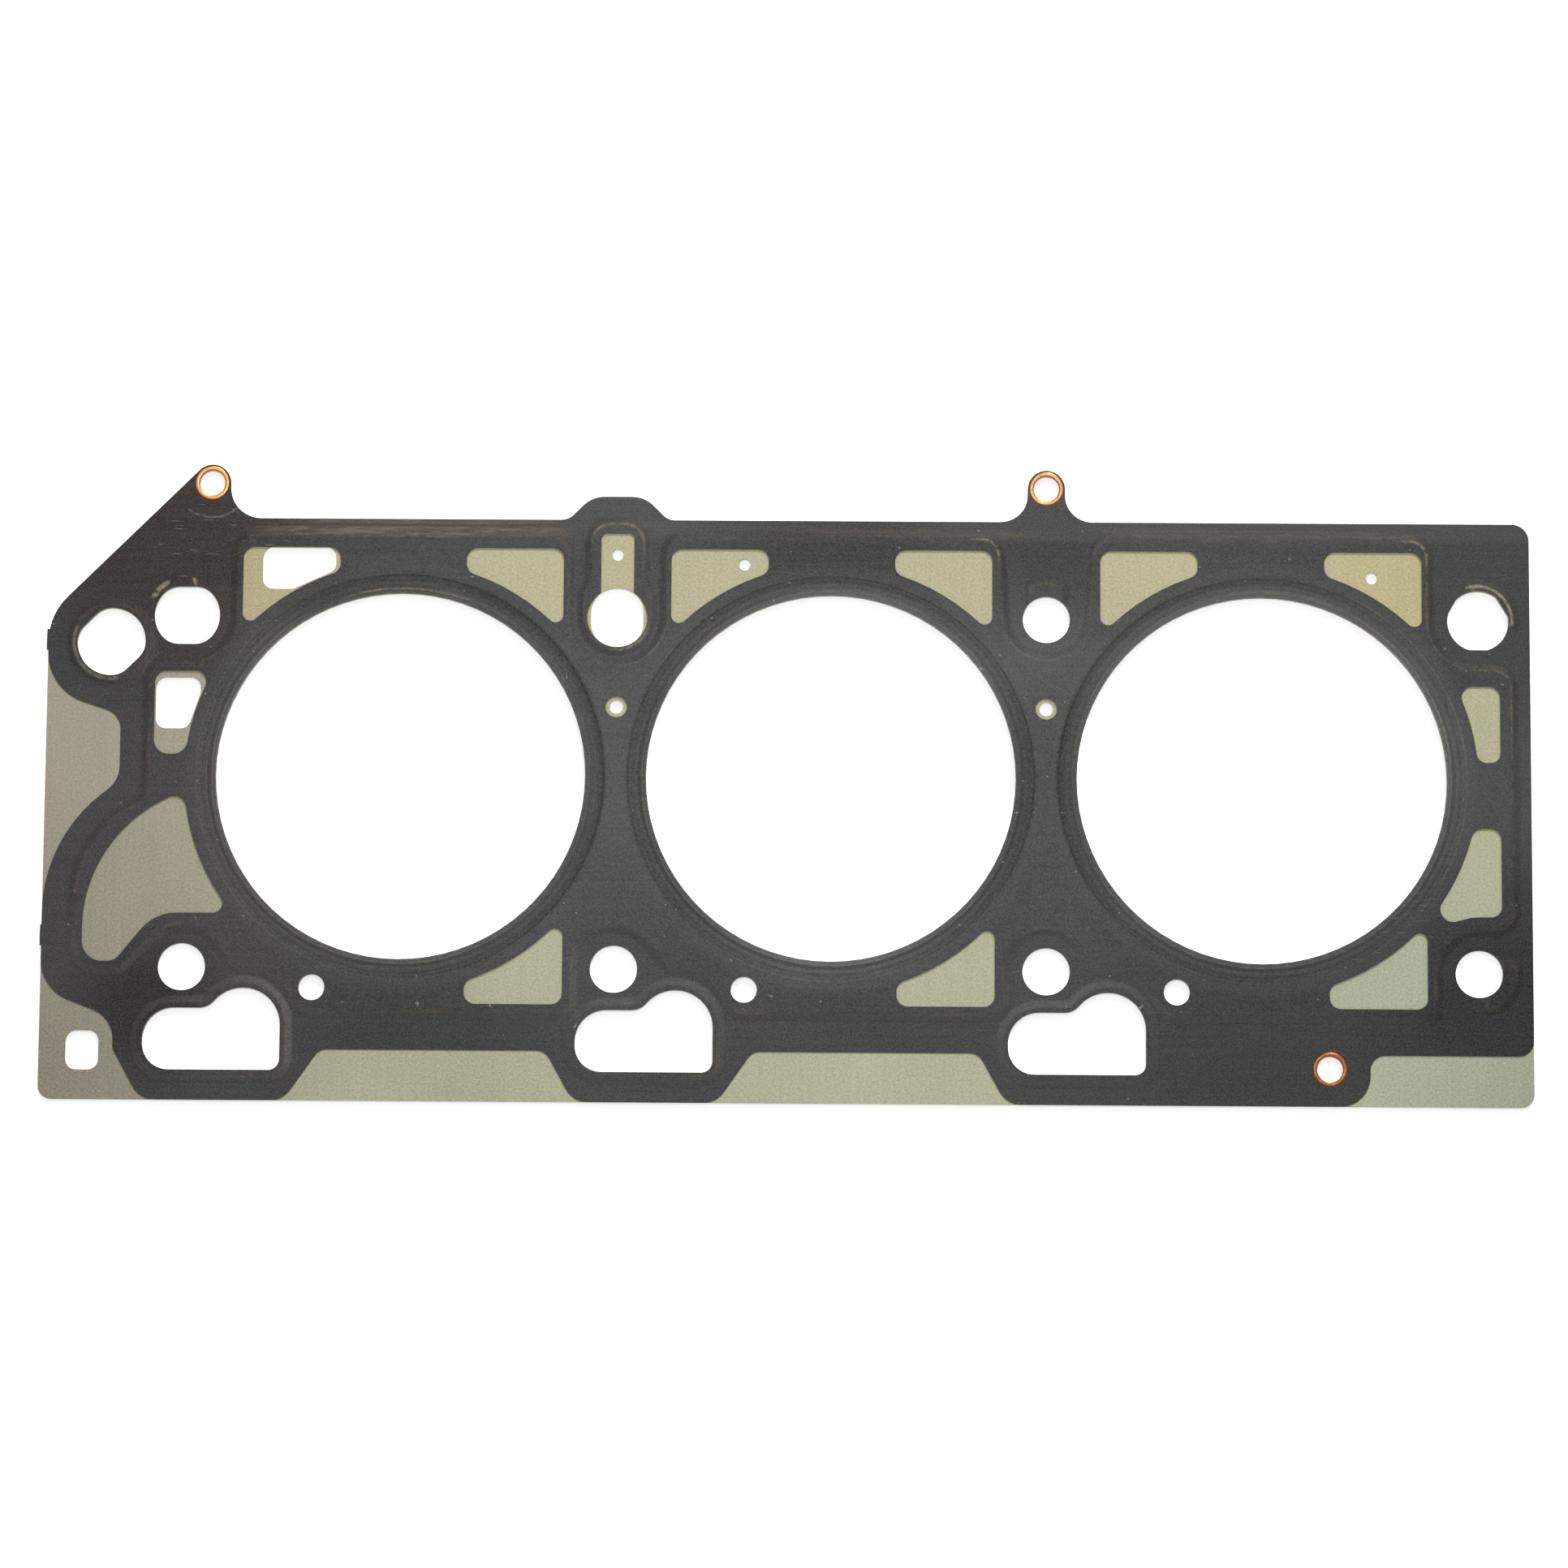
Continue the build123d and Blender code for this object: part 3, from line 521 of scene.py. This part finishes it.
# cold rolled steel sheet, left bare and dulled to khaki: a soft even sheen with a fine tooth,
# and faint rolling lines that run across the row of bores; its tones by zone are painted light and shade
bare = {
    # the tab side's and the port side's tones, painted light and shade of how the light falls across the
    # sheet, and the y over which one turns into the other
    "tabSide": "9C977A", "portSide": "95967D", "sides": (-0.060, 0.050),
    # painted light and shade: a greyer tone at the rear's low corner and a darker one at the front end
    "rearLow": "909580", "rearLowX": (0.060, 0.170), "rearLowY": (0.000, -0.060),
    "front": "898372", "frontX": (-0.120, -0.180),
    # yellower patches, and patches of painted shade: centre, reach, strength
    "warm": "A1966A", "warmed": [((-0.156, 0.055), 0.026, 0.5), ((0.150, 0.052), 0.026, 0.6)],
    "dull": [((-0.205, -0.080), 0.080, -0.32), ((-0.100, -0.083), 0.040, -0.14),
             ((0.190, -0.085), 0.050, -0.15)],
    "shadeCore": 0.0,
    "roughness": 0.50, "metallic": 0.35,
    # noises: metres across, detail, roughness, and how many times longer they are along each axis
    "tooth": (0.00060, 3.0, 0.8),           # drawn three times as coarse as it is, to show
    "lines": (0.0010, 2.0, 0.5, (1, 40, 1)),
    "mottle": (0.040, 4.0, 0.6),
    "toothShare": 0.25, "lineShare": 0.025, "mottleShare": 0.04, "bump": 0.000030,
}
bareSteel = newMaterial("coldRolledSteel")
place = addNode(bareSteel, "ShaderNodeTexCoord")
where = addNode(bareSteel, "ShaderNodeSeparateXYZ", links=[("Vector", place, "Object")])
flat = flattened(bareSteel, place)
tooth, lines, mottle = [noise(bareSteel, place, *bare[name]) for name in ("tooth", "lines", "mottle")]
# painted light and shade: the spacer's tones by side, rear corner and front end
tone = blend(bareSteel, ramp(bareSteel, where, "Y", *bare["sides"]), bare["portSide"], bare["tabSide"])
rearLow = combine(bareSteel, "MULTIPLY", ramp(bareSteel, where, "X", *bare["rearLowX"]),
                  ramp(bareSteel, where, "Y", *bare["rearLowY"]))
tone = blend(bareSteel, rearLow, (tone, 2), bare["rearLow"])
tone = blend(bareSteel, ramp(bareSteel, where, "X", *bare["frontX"]), (tone, 2), bare["front"])
for spot in bare["warmed"]:
    tone = blend(bareSteel, nearness(bareSteel, flat, *spot), (tone, 2), bare["warm"])
# the spacer's shade: rolling lines, tooth and mottle, with painted shade in some patches
shade = joined(bareSteel, "ADD", spread(bareSteel, lines, bare["lineShare"], 1.0),
               spread(bareSteel, tooth, bare["toothShare"]), spread(bareSteel, mottle, bare["mottleShare"]),
               *[nearness(bareSteel, flat, *spot, bare["shadeCore"]) for spot in bare["dull"]])
tone = blend(bareSteel, 1.0, (tone, 2), (shade, 0), "MULTIPLY")
bump = addNode(bareSteel, "ShaderNodeBump", {"Strength": 1.0, "Distance": bare["bump"]},
               [("Height", tooth, 0)])
surface = addNode(bareSteel, "ShaderNodeBsdfPrincipled",
                  {"Metallic": bare["metallic"], "Roughness": bare["roughness"]},
                  [("Base Color", tone, 2), ("Normal", bump, "Normal")])
addNode(bareSteel, "ShaderNodeOutputMaterial", links=[("Surface", surface, "BSDF")])
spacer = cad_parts["spacer_layer"]
spacer.data.materials.clear()
spacer.data.materials.append(bareSteel)
print("spacer's steel made")

# copper plated brass eyelets, turned as thin hollow rivets whose ends were rolled over into round
# lips; bright and warm where they face the light, browner where they are older, and painted shade in the
# tube and against the sheet
eyelets = {
    "names": {"front_eyelet": "frontEyelet", "middle_eyelet": "middleEyelet", "rear_eyelet": "rearEyelet"},
    "hole": 0.0034, "wall": 0.00025,        # metres from the axis to the tube's inside, and its thickness
    "lip": 0.00022,                         # metres that a lip stands above the sheet
    "lipSteps": 10, "turns": 96, "smoothUnder": 50.0,
    "bright": "D0935A", "dull": "82502F", "rimShadeColour": "6A3524",
    "roughness": 0.26, "roughest": 0.38,
    "grain": (0.0009, 4.0, 0.7), "bump": 0.00001, "bumpStrength": 0.5,
    # the rear one is older: x from and to and the share, and how the grain spreads it
    "age": (0.03, 0.13, 0.0, 0.9), "ageGrain": (0.35, 0.65, -0.15, 0.30),
    # metres from the axis where the metal is painted browner, painted shade down in the tube and against
    # the sheet
    "shadedRims": ((0.00360, 0.00348), (0.00428, 0.00448)), "rimShadeShare": 0.85,
}


def eyeletAxis(node):
    near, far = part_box(node)
    return ((near.x + far.x) / 2, (near.y + far.y) / 2)


eyeletMetal = newMaterial("copperPlatedBrass")
place = addNode(eyeletMetal, "ShaderNodeTexCoord")
where = addNode(eyeletMetal, "ShaderNodeSeparateXYZ", links=[("Vector", place, "Object")])
flat = flattened(eyeletMetal, place)
grain = noise(eyeletMetal, place, *eyelets["grain"])
age = combine(eyeletMetal, "ADD", ramp(eyeletMetal, where, "X", *eyelets["age"]),
              ramp(eyeletMetal, grain, 0, *eyelets["ageGrain"]))
tone = blend(eyeletMetal, age, eyelets["bright"], eyelets["dull"])
away = awayFromNearest(eyeletMetal, flat, 0, [eyeletAxis(node) for node in eyelets["names"]])
# painted shade at the tube's inside and where the lip meets the sheet
shadedRims = [ramp(eyeletMetal, away, 0, start, end, 0.0, eyelets["rimShadeShare"])
           for start, end in eyelets["shadedRims"]]
tone = blend(eyeletMetal, combine(eyeletMetal, "MAXIMUM", *shadedRims), (tone, 2), eyelets["rimShadeColour"])
bump = addNode(eyeletMetal, "ShaderNodeBump",
               {"Strength": eyelets["bumpStrength"], "Distance": eyelets["bump"]}, [("Height", grain, 0)])
roughness = ramp(eyeletMetal, grain, 0, *noiseSpan, eyelets["roughness"], eyelets["roughest"])
surface = addNode(eyeletMetal, "ShaderNodeBsdfPrincipled", {"Metallic": 1.0},
                  [("Base Color", tone, 2), ("Normal", bump, "Normal"), ("Roughness", roughness, 0)])
addNode(eyeletMetal, "ShaderNodeOutputMaterial", links=[("Surface", surface, "BSDF")])


def eyeletSection(outer, low, high):
    # the closed outline of half an eyelet as (radius, height): a lip rolled over at each end
    inner, tube = eyelets["hole"], eyelets["hole"] + eyelets["wall"]
    middle, reach = (inner + outer) / 2, (outer - inner) / 2
    lip, steps = eyelets["lip"], eyelets["lipSteps"]
    turns = [pi * step / steps for step in range(steps + 1)]
    upper = [(middle - reach * cos(turn), high - lip * (1 - sin(turn))) for turn in turns]
    lower = [(middle + reach * cos(turn), low + lip * (1 - sin(turn))) for turn in turns]
    return upper + [(tube, high - lip), (tube, low + lip)] + lower


for node, name in eyelets["names"].items():
    near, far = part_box(node)
    x, y = eyeletAxis(node)
    section = eyeletSection((far.x - near.x) / 2, near.z, far.z)
    ring = bpy.data.meshes.new(name)
    ring.from_pydata([(x + radius, y, z) for radius, z in section],
                     [(n, (n + 1) % len(section)) for n in range(len(section))], [])
    piece = bpy.data.objects.new(name, ring)
    bpy.context.scene.collection.objects.link(piece)
    selectOnly(piece)
    bpy.ops.object.mode_set(mode="EDIT")
    bpy.ops.mesh.select_all(action="SELECT")
    bpy.ops.mesh.spin(steps=eyelets["turns"], angle=2 * pi, center=(x, y, 0), axis=(0, 0, 1))
    bpy.ops.mesh.select_all(action="SELECT")
    bpy.ops.mesh.remove_doubles(threshold=beadSheets["weldedWithin"])
    bpy.ops.mesh.normals_make_consistent(inside=False)
    bpy.ops.object.mode_set(mode="OBJECT")
    bpy.ops.object.shade_smooth_by_angle(angle=radians(eyelets["smoothUnder"]))
    finishPiece(piece, node, eyeletMetal)
print("eyelets made")

# studio: a pale floor under an even white sky, low sun-like light from the tab side, and one soft
# box overhead whose gloss shows on what lies level near the middle
studio = {
    "floorSize": 8.0, "floorGap": 0.00002,          # metres
    "floor": "FAFAFA", "floorRoughness": 0.9,
    "backlight": 0.50,                              # what the floor adds for the rays that see white
    "white": (1, 1, 1, 1), "sky": 0.40, "skySeen": 1.0,
    "window": ((0.25, 1.0, 0.76), 3.2, 9.0),        # where it comes from, strength, degrees across
    "overhead": ((0.0, 0.22, 1.45), 0.28, 3.0),     # place, size, power
}
bpy.ops.object.select_all(action="DESELECT")
bpy.ops.mesh.primitive_plane_add(size=studio["floorSize"], location=(0, 0, -studio["floorGap"]))
floor = bpy.context.object
floor.name = "floor"
floorPaint = newMaterial("palePaper")
paper = addNode(floorPaint, "ShaderNodeBsdfPrincipled",
                {"Base Color": hexColour(studio["floor"]), "Roughness": studio["floorRoughness"],
                 "Specular IOR Level": 0.0})
strength = ramp(floorPaint, raySeen(floorPaint), 0, 0.0, 1.0, 0.0, studio["backlight"])
backlight = addNode(floorPaint, "ShaderNodeEmission", {"Color": studio["white"]},
                    [("Strength", strength, 0)])
surface = addNode(floorPaint, "ShaderNodeAddShader", None, [(0, paper, 0), (1, backlight, 0)])
addNode(floorPaint, "ShaderNodeOutputMaterial", links=[("Surface", surface, 0)])
floor.data.materials.append(floorPaint)

for name, kind in (("window", "SUN"), ("overhead", "AREA")):
    spot, first, second = studio[name]
    bpy.ops.object.light_add(type=kind, location=spot)
    lamp = bpy.context.object
    lamp.name = name
    lamp.rotation_euler = (-Vector(spot)).to_track_quat("-Z", "Y").to_euler()
    if kind == "SUN":
        lamp.data.energy, lamp.data.angle = first, radians(second)
    else:
        lamp.data.size, lamp.data.energy = first, second

world = bpy.data.worlds.new("studioWorld")
bpy.context.scene.world = world
world.use_nodes = True
world.node_tree.nodes.clear()
strength = ramp(world, raySeen(world), 0, 0.0, 1.0, studio["sky"], studio["skySeen"])
sky = addNode(world, "ShaderNodeBackground", {"Color": studio["white"]},
              [("Strength", strength, 0)])
addNode(world, "ShaderNodeOutputWorld", links=[("Surface", sky, 0)])
print("studio set")

# a camera almost straight above, leaning a little to the port side; the rims of the bores and of the
# bolt holes gave its place
camera = {
    "place": (0.00189, -0.2073, 1.4908),
    "looking": (-0.00941, 0.13677, -0.99056),
    "up": (-0.00574, 0.99058, 0.13683),
    "lens": 130.43, "film": 36.0, "shift": (-0.00030, -0.00022),
    "clip": (0.01, 50.0),
}
ahead, up = Vector(camera["looking"]).normalized(), Vector(camera["up"]).normalized()
across = ahead.cross(up).normalized()
up = across.cross(ahead)
turn = Matrix((across, up, -ahead)).transposed().to_4x4()
bpy.ops.object.camera_add()
eye = bpy.context.object
eye.name = "photographCamera"
eye.matrix_world = Matrix.Translation(camera["place"]) @ turn
eye.data.sensor_width = camera["film"]
eye.data.lens = camera["lens"]
eye.data.shift_x, eye.data.shift_y = camera["shift"]
eye.data.clip_start, eye.data.clip_end = camera["clip"]
bpy.context.scene.camera = eye
bpy.context.scene.view_settings.view_transform = "Standard"
